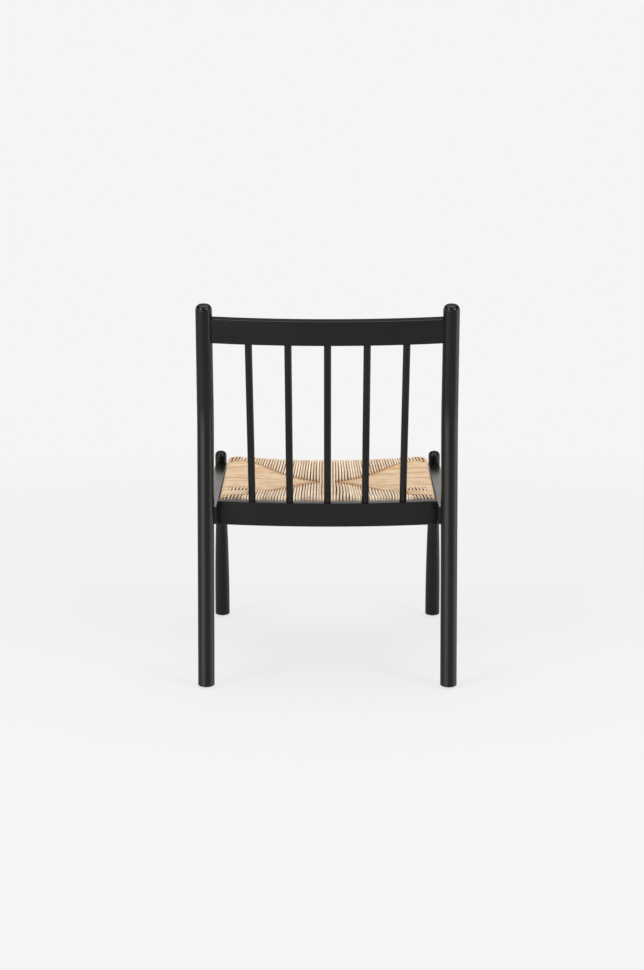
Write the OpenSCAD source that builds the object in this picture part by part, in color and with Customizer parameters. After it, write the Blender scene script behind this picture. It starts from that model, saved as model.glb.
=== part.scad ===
// Spindle-back lounge chair with a drop-in woven seat.
// The chair faces +Y, stands on Z = 0, and its middle is at X = 0 and Y = 0.
// Right is +X and left is -X, as for someone sitting in it.

/* [Stance] */
// Distance between the rear posts' centre lines at the floor
rear_track = 500; // [470:1:520]
// Distance between the front legs' centre lines at the floor
front_track = 494.8; // [470:0.2:510]
// Distance from the rear feet to the front feet, centre to centre
foot_span = 578; // [550:1:600]
// Inward lean of each rear post, in degrees
post_lean = 0.47; // [0:0.01:0.8]
// Inward lean of each front leg, in degrees
leg_splay = 0.67; // [0:0.01:1]
// Backward rake of each front leg from foot to top, in degrees
leg_rake = 12.4; // [10:0.2:14]

/* [Rear posts] */
// Diameter of the rear posts
post_d = 34; // [32:0.5:38]
// Diameter to which a post tapers at its top
post_top_d = 33; // [30:0.5:36]
// Height of the posts' tops above the floor, on their centre lines
post_top_z = 796; // [770:1:830]
// Height at which the lower and upper centre lines of a post would cross
bend_z = 558; // [530:1:580]
// Radius of the bend, on the centre line
bend_r = 380; // [250:5:450]
// Backward recline of the upper post and of the whole back, in degrees
recline = 12.3; // [8:0.1:16]
// Radius of the rounding round a post's top
post_round = 11; // [4:0.5:13]
// Radius of the shallow crown on a post's top
post_crown_r = 45; // [30:1:90]

/* [Front legs] */
// Diameter of the front legs at the foot
leg_d = 33.6; // [30:0.2:38]
// Diameter of the front legs' straight upper part
leg_neck_d = 26; // [24:0.5:29]
// Length of the thick part above the foot, along the leg
leg_thick_len = 30; // [20:1:60]
// Length over which the leg narrows in one long curve
leg_taper_len = 215; // [180:1:240]
// Height of the front legs' tops above the floor, on their centre lines
leg_top_z = 407.5; // [402:0.5:416]
// Radius of the rounding round a front leg's top
leg_round = 9; // [4:0.5:11]
// Radius of the shallow crown on a front leg's top
leg_crown_r = 32; // [24:1:80]
// Bevel round the bottom of every foot
foot_bevel = 1.5; // [0.5:0.1:3]

/* [Side rails] */
// Thickness of the side rails
side_t = 27; // [25:0.5:29]
// Height of the side rails
side_h = 36; // [34:0.5:40]
// Height of the side rails' tops above the floor
side_top_z = 380.3; // [377:0.1:384]
// How far a side rail stands inside the rear post's inner face
side_lip = 5; // [3:0.5:8]
// How far a side rail runs back past the rear post's centre line
side_tail = 4; // [0:0.5:10]
// How far a side rail's centre stands outside the front leg's centre line
side_out = -1.3; // [-3:0.1:1]
// Distance from the front leg's centre line back to the side rail's end
side_front_gap = 8; // [6:0.5:10]
// Edge rounding of the side rails
side_edge_r = 2; // [0.5:0.5:4]

/* [Rear seat rail] */
// Thickness of the rear seat rail
rear_rail_t = 22; // [20:0.5:25]
// Height of the rear seat rail
rear_rail_h = 50; // [46:0.5:54]
// Height of its lower face above the floor, at its ends
rear_rail_z = 335; // [331:0.5:339]
// How far it stands in front of the plane of the upper posts
rear_rail_forward = 5; // [0:0.5:8]
// How far its middle stands behind its ends
rear_bow = 13; // [8:0.5:18]
// Edge rounding of the rear seat rail
rear_rail_edge_r = 2; // [0.5:0.5:3]

/* [Top rail] */
// Thickness of the top rail
top_rail_t = 22; // [21:0.5:26]
// Height of the top rail
top_rail_h = 50.5; // [45:0.5:54]
// Height of its lower face above the floor, at its ends
top_rail_z = 718.5; // [708:0.5:726]
// Edge rounding of the top rail
top_rail_edge_r = 3.2; // [1:0.1:5]
// How far it stands in front of the upper posts' centre lines
top_rail_forward = 5.5; // [4:0.5:6]
// How far the middle of the top rail stands behind its ends
top_bow = 19; // [12:0.5:24]

/* [Front seat rail] */
// Thickness of the front seat rail
front_rail_t = 24; // [20:0.5:26]
// Height of the front seat rail
front_rail_h = 24; // [22:0.5:27]
// Distance from the front legs' centre lines back to its centre
front_rail_inset = 36; // [32:0.5:42]

/* [Spindles] */
// Diameter of the spindles
spindle_d = 14.6; // [12:0.2:16]
// Spacing of the spindles at the rear seat rail
spindle_pitch_low = 77.1; // [74:0.1:82]
// Spacing of the spindles at the top rail
spindle_pitch_high = 78.3; // [76:0.1:83]
// How deep a spindle enters each rail
spindle_in = 16; // [10:1:22]

/* [Wood joints] */
// Thickness of the tenons
tenon_t = 9; // [7:0.5:11]
// How deep a tenon enters a post, leg or rail
tenon_in = 12; // [9:0.5:13]
// Height left above and below each tenon, together
tenon_cut = 13; // [10:0.5:15]
// Distance from a side rail's centre out to its rear tenon's centre
side_tenon_shift = 6; // [4:0.5:7]
// Gap left all round a wood joint for glue
fit = 0.2; // [0.1:0.05:0.3]

/* [Woven seat] */
// Height of the weave's top at the rear corners
seat_rear_z = 389; // [386:0.5:392]
// Height of the weave's top at the front corners
seat_front_z = 401.5; // [398:0.5:405]
// Thickness of the cord layer over each bar
cord_wrap = 6; // [5:0.1:7]
// Distance from the front legs' centre lines back to the weave's front edge
seat_front_inset = 15; // [12:0.5:20]
// Gap between the weave and the rails beside and behind it
seat_gap = 3; // [2:0.1:4]
// How far the front edge dips in the middle
seat_dip = 11; // [4:0.5:12]
// How far the middle of the weave hangs below the line between the bars
seat_sag = 11; // [4:0.5:16]
// Radius of the weave's front corners, seen from above
seat_front_r = 30; // [20:1:36]
// Radius of the weave's rear corners, seen from above
seat_rear_r = 9; // [6:0.5:14]

/* [Seat frame] */
// Height of the four seat bars
bar_h = 21; // [19:0.5:23]
// Edge rounding of the seat bars
bar_edge_r = 4; // [1:0.5:6]
// Diameter of the dowels in the seat frame's corners
dowel_d = 8; // [6:0.5:8]
// Length of those dowels
dowel_len = 24; // [20:1:30]
// Distance between the two dowels of one corner
dowel_pitch = 15; // [13:0.5:17]
// Distance from a seat bar's edge to the nearer dowel's centre line
dowel_edge = 7.5; // [6:0.5:9]

/* [Corner blocks] */
// Length of a corner block along each rail
block_len = 60; // [54:1:66]
// Height of a corner block
block_h = 15; // [13:0.5:18]
// Diameter of the wood screws
screw_d = 4; // [3.5:0.1:4.5]
// Diameter of the screws' heads
screw_head_d = 8; // [7:0.1:8.5]
// How deep the screws enter a rail or a seat bar
screw_in = 13; // [9:0.5:15]
// Distance from a rail's face to a screw driven along that rail's neighbour
block_screw_set = 37; // [34:0.5:40]
// Depth at which the heads of the blocks' screws sit
block_screw_sink = 7; // [5:0.5:9]

/* [Glides] */
// Diameter of the glides
glide_d = 15; // [12:0.5:20]
// Height of the glides
glide_h = 3.5; // [3:0.1:5]
// Edge rounding of the glides
glide_edge_r = 2; // [0.5:0.1:2.4]
// Diameter of the glides' nails
nail_d = 2.6; // [2:0.1:3]
// Diameter of the nails' heads
nail_head_d = 5.5; // [4:0.1:6.5]
// How deep a nail enters its leg
nail_in = 16; // [12:1:20]

/* [Hidden] */
$fn = 72;
bow_fn = 900;
slack = 0.15;
rest_gap = 0.3;
weld = 1;
taper_steps = 12;
skin = 0.02;
ease_steps = 3;
dip_power = 1.5;
sag_power = 1.2;
spindle_turn = 50;
far = 400;
tenon_root = 8;
top_rail_end = 4;
top_tenon_back = 3;
front_tenon_edge = 2.5;
block_bury_front = 4;
block_bury_rear = 8;
seat_screw_clear = 8;
seat_screw_back = 6;
wood_black = "#26221f";
wood_raw = "#cfae82";
cord_tan = "#dcc39c";
steel = "#a9abae";
nylon = "#e9e7e2";

// Rear posts
post_r = post_d / 2;
leg_r = leg_d / 2;
neck_r = leg_neck_d / 2;
leg_len = leg_top_z / cos(leg_rake);
tangent = bend_r * tan(recline / 2);
post_top_r = post_top_d / 2;
upper_len = (post_top_z - bend_z) / cos(recline);
rear_reach = (upper_len - post_round) * sin(recline) + post_r * cos(recline);
front_reach = foot_span + leg_r / cos(leg_rake) - (glide_h + foot_bevel) * tan(leg_rake);
rear_y = (rear_reach - front_reach) / 2;
front_y = rear_y + foot_span;

// Height in the plane of the back of a point at a height above the floor
function back_h(z) = (z - bend_z) / cos(recline);
// Half the distance between the upper posts' centre lines, at a height in that plane
function post_x_back(h) = rear_track / 2 - (bend_z + h * cos(recline)) * sin(post_lean);
function post_x(z) = rear_track / 2 - z * tan(post_lean);
function leg_x(z) = front_track / 2 - z * tan(leg_splay);
function leg_y(z) = front_y - z * tan(leg_rake);
function bow_radius(half, bow) = (half * half + bow * bow) / (2 * bow);

// Side rails
side_mid_z = side_top_z - side_h / 2;
side_rear_x = post_x(side_mid_z) - post_r - side_lip + side_t / 2;
side_front_x = leg_x(side_mid_z) + side_out;
side_run = leg_y(side_mid_z) - rear_y;
side_turn = atan2(side_front_x - side_rear_x, side_run);
function side_inner_x(y) = side_rear_x - side_t / 2 + (y - rear_y) * tan(side_turn);
side_tenon_h = side_h - tenon_cut;

// Curved rails
top_h0 = back_h(top_rail_z);
top_mid_h = top_h0 + top_rail_h / 2;
top_half = post_x_back(top_mid_h);
top_radius = bow_radius(top_half, top_bow);
top_tenon_h = top_rail_h - tenon_cut;
rear_h0 = back_h(rear_rail_z);
rear_rail_y0 = rear_y - rear_h0 * sin(recline);
rear_half = side_inner_x(rear_rail_y0);
rear_radius = bow_radius(rear_half, rear_bow);
rear_tenon_h0 = back_h(side_mid_z) - side_tenon_h / 2;

// Woven seat and its frame
bar_w = dowel_pitch + 2 * dowel_edge;
seat_half_t = bar_h / 2 + cord_wrap;
seat_under_z = seat_rear_z - 2 * seat_half_t;
rear_rail_face_y = rear_y + (rear_rail_forward + rear_rail_t / 2) / cos(recline)
    + (bend_z - seat_under_z) * tan(recline);
seat_rear_y = rear_rail_face_y + seat_gap;
seat_front_y = leg_y(side_mid_z) - seat_front_inset;
seat_len = seat_front_y - seat_rear_y;
seat_pitch = asin((seat_front_z - seat_rear_z) / seat_len);
seat_rear_half = side_inner_x(seat_rear_y) - seat_gap;
seat_front_half = side_inner_x(seat_front_y) - seat_gap;
bar_rear_half = seat_rear_half - cord_wrap;
bar_front_half = seat_front_half - cord_wrap;
bar_turn = atan2(bar_front_half - bar_rear_half, seat_len);
side_bar_front = seat_len - cord_wrap - bar_w;
side_bar_x = bar_rear_half - bar_w / 2;

// Front seat rail
front_rail_y = leg_y(side_mid_z) - front_rail_inset;
function seat_under(y) = seat_under_z + (y - seat_rear_y) * tan(seat_pitch) - rest_gap;
front_rail_top = seat_under(front_rail_y - front_rail_t / 2);
front_rail_z = front_rail_top - front_rail_h;
front_tenon_z = side_top_z - side_h + front_tenon_edge;
front_tenon_h = front_rail_top - front_tenon_edge - front_tenon_z;

// Corner blocks
block_top_front = seat_under(front_rail_y - front_rail_t / 2 - block_len);
block_top_rear = seat_under(seat_rear_y);
block_screw_drop = 5.5;
block_shank = block_len - block_screw_set - block_screw_sink;
function block_face_y(front) = front ? front_rail_y - front_rail_t / 2 : rear_rail_face_y;
seat_screw_y = [side_bar_front - dowel_len / 2 - seat_screw_clear, cord_wrap + bar_w / 2 - seat_screw_back];
seat_screw_len = block_h + cord_wrap + screw_in;
screw_head_h = 2.4;
nail_head_h = 1;
nail_head_z = 0.8;

module on_side(s) {
    if (s > 0) children();
    else mirror([1, 0, 0]) children();
}

// Rectangle with round corners, centred on the origin
module round_rect(w, h, r) {
    square([w - 2 * r, h], center = true);
    square([w, h - 2 * r], center = true);
    for (x = [-1, 1], y = [-1, 1])
        translate([x * (w / 2 - r), y * (h / 2 - r)]) circle(r, $fn = 24);
}

// Half outline of a rod that tapers from low_r at y = low and ends rounded and crowned at y = tall
module rod_profile(low, tall, low_r, top_r, round_r, crown_r) {
    end_y = tall - 2 * top_r;
    polygon([[0, low], [low_r, low], [top_r, end_y], [top_r - skin, end_y + weld], [0, end_y + weld]]);
    intersection() {
        union() {
            translate([0, end_y]) square([top_r - round_r, 2 * top_r]);
            translate([0, end_y]) square([top_r, 2 * top_r - round_r]);
            translate([top_r - round_r, tall - round_r]) intersection() {
                circle(round_r);
                square(2 * round_r);
            }
        }
        translate([0, tall - crown_r]) circle(crown_r, $fn = 144);
    }
}

module at_post() {
    translate([rear_track / 2, rear_y, 0]) rotate([0, -post_lean, 0]) children();
}

module at_leg() {
    translate([front_track / 2, front_y, 0]) rotate([leg_rake, -leg_splay, 0]) children();
}

// Frame of the reclined back, with its origin where the posts bend
module at_back() {
    translate([0, rear_y, bend_z]) rotate([recline, 0, 0]) children();
}

// Frame of a side rail: y runs forward along it, z = 0 is its top
module at_side() {
    translate([side_rear_x, rear_y, side_top_z]) rotate([0, 0, -side_turn]) children();
}

// Frame of the seat: y = 0 is its rear edge at the sides, z = 0 is the middle of its bars
module at_seat() {
    translate([0, seat_rear_y, seat_rear_z - seat_half_t]) rotate([seat_pitch, 0, 0]) children();
}

// Everything above a foot's underside, with the foot's bevel
module foot_trim(x, y, r) {
    translate([x, y, glide_h]) {
        cylinder(h = 2 * foot_bevel, r1 = r - foot_bevel, r2 = r + foot_bevel);
        translate([-far, -far, 2 * foot_bevel]) cube([2 * far, 2 * far, 3 * far]);
    }
}

// Solid of the right rear post
module post_stock() {
    at_post() {
        cylinder(h = bend_z - tangent + weld, r = post_r);
        translate([0, -bend_r, bend_z - tangent]) rotate([90, 0, 90])
            rotate_extrude(angle = recline, $fn = bow_fn)
                translate([bend_r, 0]) circle(post_r - skin, $fn = 72);
        translate([0, 0, bend_z]) rotate([recline, 0, 0]) rotate_extrude()
            rod_profile(tangent - weld, upper_len, post_r, post_top_r, post_round, post_crown_r);
    }
}

// Straight lower length of the right rear post, grown all round
module post_shaft(grow) {
    at_post() cylinder(h = bend_z - tangent, r = post_r + grow);
}

// Tapered upper length of the right rear post, grown all round, carried on to the post's full height
module post_taper(grow) {
    full = upper_len - tangent;
    at_post() translate([0, 0, bend_z]) rotate([recline, 0, 0]) translate([0, 0, tangent])
        cylinder(h = full, r1 = post_r + grow,
            r2 = post_r + grow - (post_r - post_top_r) * full / (full - post_top_d));
}

// Solid of the right front leg's neck, grown all round
module leg_neck(grow = 0) {
    low = leg_thick_len + leg_taper_len;
    at_leg() translate([0, 0, low]) cylinder(h = leg_len - low - leg_neck_d, r = neck_r + grow);
}

// Radius of the front leg's curved taper at a height y above its start
function taper_r(y) =
    let (drop = leg_r - neck_r, arc_r = (leg_taper_len * leg_taper_len + drop * drop) / (2 * drop))
    leg_r - arc_r + sqrt(arc_r * arc_r - y * y);

// Half outline of the front leg's long curved taper
module taper_profile() {
    polygon(concat([[0, leg_taper_len], [0, 0]],
        [for (i = [0 : taper_steps]) let (y = i * leg_taper_len / taper_steps) [taper_r(y), y]]));
}

// Points of a bar's upper right corner, eased in a few flats
function eased_corner(w, h, r) = [for (i = [0 : ease_steps]) let (a = i * 90 / ease_steps)
    [w / 2 - r + r * cos(a), h / 2 - r + r * sin(a)]];
function reversed(list) = [for (i = [len(list) - 1 : -1 : 0]) list[i]];
function turned(list, sx, sy) = [for (p = list) [sx * p[0], sy * p[1]]];

module eased_rect(w, h, r) {
    corner = eased_corner(w, h, r);
    polygon(concat(corner, reversed(turned(corner, -1, 1)), turned(corner, -1, -1),
        reversed(turned(corner, 1, -1))));
}

// Curved bar of an eased section, bowed back in its middle, ending at x = half
module bowed_bar(half, radius, bow, thick, tall, edge_r) {
    sweep = asin(half / radius);
    translate([0, radius - bow, 0]) rotate([0, 0, 270 - sweep])
        rotate_extrude(angle = 2 * sweep, $fn = bow_fn)
            translate([radius, 0]) eased_rect(thick, tall, edge_r);
}

// Tenon of the top rail in the right post
module top_tenon(grow = 0) {
    root = post_r + tenon_root;
    at_back() translate([top_half - root, top_rail_forward - top_tenon_back - tenon_t / 2 - grow,
            top_mid_h - top_tenon_h / 2 - grow])
        cube([root - post_r + tenon_in + grow * 2, tenon_t + 2 * grow, top_tenon_h + 2 * grow]);
}

// Tenon of the rear seat rail in the right side rail
module rear_rail_tenon(grow = 0) {
    at_back() translate([rear_half - tenon_root, rear_rail_forward - tenon_t / 2 - grow,
            rear_tenon_h0 - grow])
        cube([tenon_root + tenon_in + grow * 2, tenon_t + 2 * grow, side_tenon_h + 2 * grow]);
}

// Tenon of the front seat rail in the right side rail
module front_rail_tenon(grow = 0) {
    translate([side_inner_x(front_rail_y) - tenon_root, front_rail_y - tenon_t / 2 - grow,
            front_tenon_z - grow])
        cube([tenon_root + tenon_in + grow * 2, tenon_t + 2 * grow, front_tenon_h + 2 * grow]);
}

// Tenon of the right side rail in the rear post
module side_rear_tenon(grow = 0) {
    reach = sqrt(post_r * post_r - pow(post_x(side_mid_z) - side_rear_x - side_tenon_shift, 2));
    at_side() translate([side_tenon_shift - tenon_t / 2 - grow, reach - tenon_in - grow * 2,
            -side_h / 2 - side_tenon_h / 2 - grow])
        cube([tenon_t + 2 * grow, tenon_root + tenon_in + grow * 2, side_tenon_h + 2 * grow]);
}

// Tenon of the right side rail in the front leg
module side_front_tenon(grow = 0) {
    at_side() translate([-side_out - tenon_t / 2 - grow, side_run / cos(side_turn) - neck_r - tenon_root,
            -side_h / 2 - side_tenon_h / 2 - grow])
        cube([tenon_t + 2 * grow, tenon_root + tenon_in + grow * 2, side_tenon_h + 2 * grow]);
}

// Everything outside the right side rail's inner face
module beyond_side_rail(gap) {
    at_side() translate([-side_t / 2 - gap, -far, -far]) cube([far, 4 * far, 2 * far]);
}

module rear_rail_stock(grow = 0) {
    at_back() translate([0, rear_rail_forward, rear_h0 + rear_rail_h / 2])
        bowed_bar(rear_half + tenon_in, rear_radius, rear_bow, rear_rail_t + 2 * grow,
            rear_rail_h + 2 * grow, rear_rail_edge_r);
}

module front_rail_stock(grow = 0) {
    translate([0, front_rail_y, front_rail_z + front_rail_h / 2]) rotate([90, 0, 90])
        linear_extrude(front_track, center = true)
            round_rect(front_rail_t + 2 * grow, front_rail_h + 2 * grow, side_edge_r);
}

// Spindle number i, numbered 1 to 5 from left to right, grown all round
module spindle_stock(i, grow = 0) {
    low_x = (i - 3) * spindle_pitch_low;
    high_x = (i - 3) * spindle_pitch_high;
    low_y = rear_rail_forward - rear_bow + rear_radius - sqrt(rear_radius * rear_radius - low_x * low_x);
    high_y = top_rail_forward - top_bow + top_radius - sqrt(top_radius * top_radius - high_x * high_x);
    low_h = rear_h0 + rear_rail_h;
    rise = top_h0 - low_h;
    run = [high_x - low_x, high_y - low_y];
    span = sqrt(rise * rise + run * run);
    at_back() translate([low_x, low_y, low_h])
        rotate([0, acos(rise / span), atan2(run[1], run[0])])
            translate([0, 0, -spindle_in - grow * 2]) rotate([0, 0, spindle_turn])
                cylinder(h = span + 2 * spindle_in + grow * 4, r = spindle_d / 2 + grow);
}

module glide_nail(grow = 0) {
    translate([0, 0, nail_head_z]) {
        cylinder(h = nail_head_h, d = nail_head_d + 2 * grow);
        cylinder(h = glide_h - nail_head_z + nail_in + grow, d = nail_d + 2 * grow);
    }
}

module at_glide(s, front) {
    on_side(s)
        translate(front ? [leg_x(glide_h), leg_y(glide_h), 0] : [post_x(glide_h), rear_y, 0])
            children();
}

module glide(s, front) {
    color(nylon) at_glide(s, front) difference() {
        rotate_extrude() {
            square([glide_d / 2 - glide_edge_r, glide_h]);
            translate([0, glide_edge_r]) square([glide_d / 2, glide_h - glide_edge_r]);
            translate([glide_d / 2 - glide_edge_r, glide_edge_r]) intersection() {
                circle(glide_edge_r, $fn = 32);
                translate([0, -glide_edge_r]) square(glide_edge_r);
            }
        }
        glide_nail(slack);
        translate([0, 0, -1]) cylinder(h = 1 + nail_head_z + nail_head_h / 2, d = nail_head_d + 2 * slack);
    }
}

module glide_nails() {
    color(steel) for (s = [-1, 1], front = [false, true]) at_glide(s, front) glide_nail();
}

module rear_post(s) {
    color(wood_black) on_side(s) difference() {
        intersection() {
            post_stock();
            foot_trim(post_x(glide_h), rear_y, post_r);
        }
        top_tenon(fit);
        side_rear_tenon(fit);
        at_glide(1, false) glide_nail(slack);
    }
}

module front_leg(s) {
    color(wood_black) on_side(s) difference() {
        intersection() {
            at_leg() rotate_extrude() {
                translate([0, -foot_bevel]) square([leg_r, leg_thick_len + foot_bevel]);
                translate([0, leg_thick_len]) taper_profile();
                rod_profile(leg_thick_len + leg_taper_len - leg_neck_d, leg_len, neck_r, neck_r,
                    leg_round, leg_crown_r);
            }
            foot_trim(leg_x(glide_h), leg_y(glide_h), leg_r);
        }
        side_front_tenon(fit);
        at_glide(1, true) glide_nail(slack);
    }
}

module side_rail(s) {
    body_len = side_run / cos(side_turn) - side_front_gap + side_tail;
    color(wood_black) on_side(s) difference() {
        union() {
            difference() {
                at_side() translate([0, -side_tail + body_len / 2, -side_h / 2]) rotate([90, 0, 0])
                    linear_extrude(body_len, center = true) round_rect(side_t, side_h, side_edge_r);
                post_shaft(fit);
                leg_neck(fit);
            }
            side_rear_tenon();
            side_front_tenon();
        }
        rear_rail_tenon(fit);
        front_rail_tenon(fit);
        for (front = [false, true]) block_screws(front, slack);
    }
}

module rear_seat_rail() {
    color(wood_black) difference() {
        union() {
            difference() {
                rear_rail_stock();
                for (s = [-1, 1]) translate([s * (rear_half - fit + far), rear_y, rear_rail_z])
                    cube(2 * far, center = true);
            }
            for (s = [-1, 1]) on_side(s) rear_rail_tenon();
        }
        for (i = [1 : 5]) spindle_stock(i, fit);
        for (s = [-1, 1]) on_side(s) block_screws(false, slack);
    }
}

module front_seat_rail() {
    color(wood_black) difference() {
        union() {
            difference() {
                front_rail_stock();
                for (s = [-1, 1]) on_side(s) beyond_side_rail(fit);
            }
            for (s = [-1, 1]) on_side(s) front_rail_tenon();
        }
        for (s = [-1, 1]) on_side(s) block_screws(true, slack);
    }
}

module top_rail() {
    color(wood_black) difference() {
        union() {
            difference() {
                at_back() translate([0, top_rail_forward, top_mid_h])
                    bowed_bar(top_half - top_rail_end, top_radius, top_bow,
                        top_rail_t, top_rail_h, top_rail_edge_r);
                for (s = [-1, 1]) on_side(s) post_taper(fit);
            }
            for (s = [-1, 1]) on_side(s) top_tenon();
        }
        for (i = [1 : 5]) spindle_stock(i, fit);
    }
}

module spindle(i) {
    color(wood_black) spindle_stock(i);
}

// Height of the front bar's scooped top above its middle plane
function scoop(x) = bar_h / 2 - seat_dip * (1 - pow(x / bar_front_half, 2));

// Front bar of the seat frame: flat below, scooped above
module front_bar_stock(grow = 0) {
    half = bar_front_half + grow;
    steps = 24;
    translate([0, side_bar_front + bar_w / 2, 0]) intersection() {
        rotate([90, 0, 90]) linear_extrude(2 * half, center = true)
            round_rect(bar_w + 2 * grow, bar_h + 2 * grow, bar_edge_r);
        rotate([90, 0, 0]) linear_extrude(2 * bar_w, center = true)
            polygon(concat([[half, -bar_h], [-half, -bar_h]],
                [for (i = [0 : steps]) let (x = half * (2 * i / steps - 1)) [x, scoop(x) + grow]]));
    }
}

module rear_bar_stock(grow = 0) {
    translate([0, cord_wrap + bar_w / 2, 0]) intersection() {
        bowed_bar(bar_rear_half + rear_bow, rear_radius, rear_bow, bar_w + 2 * grow,
            bar_h + 2 * grow, bar_edge_r);
        cube([2 * (bar_rear_half + grow), far, far], center = true);
    }
}

// Right side bar, before its ends are cut to the front and rear bars
module side_bar_stock(grow = 0) {
    translate([side_bar_x, 0, 0]) rotate([0, 0, -bar_turn]) translate([0, seat_len / 2, 0])
        rotate([90, 0, 0]) linear_extrude(seat_len - 2 * cord_wrap - bar_w, center = true)
            round_rect(bar_w + 2 * grow, bar_h + 2 * grow, bar_edge_r);
}

module bar_dowels(grow = 0) {
    translate([side_bar_x, 0, 0]) rotate([0, 0, -bar_turn])
        for (x = [-0.5, 0.5], y = [cord_wrap + bar_w - 2, side_bar_front])
            translate([x * dowel_pitch, y, 0]) rotate([90, 0, 0])
                cylinder(h = dowel_len + 2 * grow, d = dowel_d + 2 * grow, center = true);
}

// Countersunk wood screw with its head's top at z = 0, pointing up
module screw_body(len, grow = 0) {
    cylinder(h = screw_head_h, d1 = screw_head_d + 2 * grow, d2 = screw_d + 2 * grow);
    cylinder(h = len + grow, d = screw_d + 2 * grow);
}

// Places of the two screws that hold the seat on its right side, below its corner blocks
module at_seat_screws() {
    for (y = seat_screw_y)
        translate([side_bar_x + y * tan(bar_turn), y, -seat_half_t - rest_gap - block_h]) children();
}

module seat_screw_pair(grow = 0) {
    at_seat_screws() screw_body(seat_screw_len, grow);
}

module seat_bar_front() {
    color(wood_raw) at_seat() difference() {
        front_bar_stock();
        for (s = [-1, 1]) on_side(s) bar_dowels(slack);
    }
}

module seat_bar_rear() {
    color(wood_raw) at_seat() difference() {
        rear_bar_stock();
        for (s = [-1, 1]) on_side(s) {
            bar_dowels(slack);
            seat_screw_pair(slack);
        }
    }
}

module seat_bar_side(s) {
    color(wood_raw) at_seat() on_side(s) difference() {
        side_bar_stock();
        front_bar_stock(fit);
        rear_bar_stock(fit);
        bar_dowels(slack);
        seat_screw_pair(slack);
    }
}

module seat_bar_dowels() {
    color(wood_raw) at_seat() for (s = [-1, 1]) on_side(s) bar_dowels();
}

module seat_screws() {
    color(steel) at_seat() for (s = [-1, 1]) on_side(s) seat_screw_pair();
}

// Outline of the weave seen from above, scaled about its middle
function seat_edge(k) =
    let (mid = seat_len / 2, rf = seat_front_r, rr = seat_rear_r, steps = 5, across = 8,
        front = [for (i = [1 : across - 1])
            [(seat_front_half - rf) * (1 - 2 * i / across), seat_len]],
        rear = [for (i = [1 : across - 1])
            let (x = (seat_rear_half - rr) * (2 * i / across - 1))
            [x, -rear_bow * (1 - pow(x / seat_rear_half, 2))]],
        front_right = [for (a = [0 : steps])
            [seat_front_half - rf + rf * cos(a * 90 / steps), seat_len - rf + rf * sin(a * 90 / steps)]],
        rear_right = [for (a = [steps : -1 : 0])
            [seat_rear_half - rr + rr * cos(a * 90 / steps), rr - rr * sin(a * 90 / steps)]],
        right = concat(rear_right, front_right),
        left = [for (i = [len(right) - 1 : -1 : 0]) [-right[i][0], right[i][1]]])
    [for (p = concat(right, front, left, rear)) [p[0] * k, mid + (p[1] - mid) * k]];

// Height of the weave's upper face above the seat's middle plane
function seat_top(p) =
    let (across = 1 - pow(min(1, abs(p[0]) / seat_front_half), 2),
        along = max(0, min(1, p[1] / seat_len)),
        open_x = bar_rear_half - bar_w,
        open_y = seat_len / 2 - cord_wrap - bar_w,
        inward = max(0, 1 - abs(p[0]) / open_x),
        midway = max(0, 1 - abs(p[1] - seat_len / 2) / open_y))
    seat_half_t - seat_dip * across * pow(along, dip_power) - seat_sag * pow(inward * midway, sag_power);

// The weave as one closed solid with round edges and a slight crown
module seat_form() {
    edge = seat_half_t * 0.55;
    outer = seat_edge(1);
    n = len(outer);
    reach = seat_front_half;
    turns = [60, 30, 0];
    rim = [for (a = turns) [1 - edge * (1 - cos(a)) / reach, sin(a)]];
    crown_rings = [0.35, 0.65, 0.86];
    top_rings = [for (k = crown_rings) [k * (1 - edge / reach), 1]];
    rings = concat(top_rings, [[1 - edge / reach, 1]], rim,
        [[1, 0], [rim[1][0], -rim[1][1]], [rim[0][0], -rim[0][1]], [1 - edge / reach, -1]]);
    upper = len(top_rings) + 1 + len(rim);
    points = concat(
        [[0, seat_len / 2, seat_top([0, seat_len / 2])]],
        [for (j = [0 : len(rings) - 1]) let (k = rings[j][0], v = rings[j][1], line = seat_edge(k))
            for (p = line) [p[0], p[1], j < upper
                ? seat_top(p) - edge * (1 - v)
                : -seat_half_t + edge * (1 + v)]],
        [[0, seat_len / 2, -seat_half_t]]);
    last = len(points) - 1;
    faces = concat(
        [for (i = [0 : n - 1]) [0, 1 + (i + 1) % n, 1 + i]],
        [for (j = [0 : len(rings) - 2], i = [0 : n - 1])
            let (a = 1 + j * n + i, b = 1 + j * n + (i + 1) % n) [a, b, a + n]],
        [for (j = [0 : len(rings) - 2], i = [0 : n - 1])
            let (a = 1 + j * n + i, b = 1 + j * n + (i + 1) % n) [b, b + n, a + n]],
        [for (i = [0 : n - 1]) [last, last - n + i, last - n + (i + 1) % n]]);
    polyhedron(points, faces);
}

// Plan outline of the rear bar, grown all round
module rear_bar_plan(grow) {
    half = bar_rear_half + grow;
    steps = 20;
    function arc_y(x, shift) = cord_wrap + bar_w / 2 - rear_bow + rear_radius
        - sqrt(pow(rear_radius + shift, 2) - x * x);
    polygon(concat(
        [for (i = [0 : steps]) let (x = half * (2 * i / steps - 1)) [x, arc_y(x, bar_w / 2 + grow)]],
        [for (i = [steps : -1 : 0]) let (x = half * (2 * i / steps - 1)) [x, arc_y(x, -bar_w / 2 - grow)]]));
}

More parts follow.
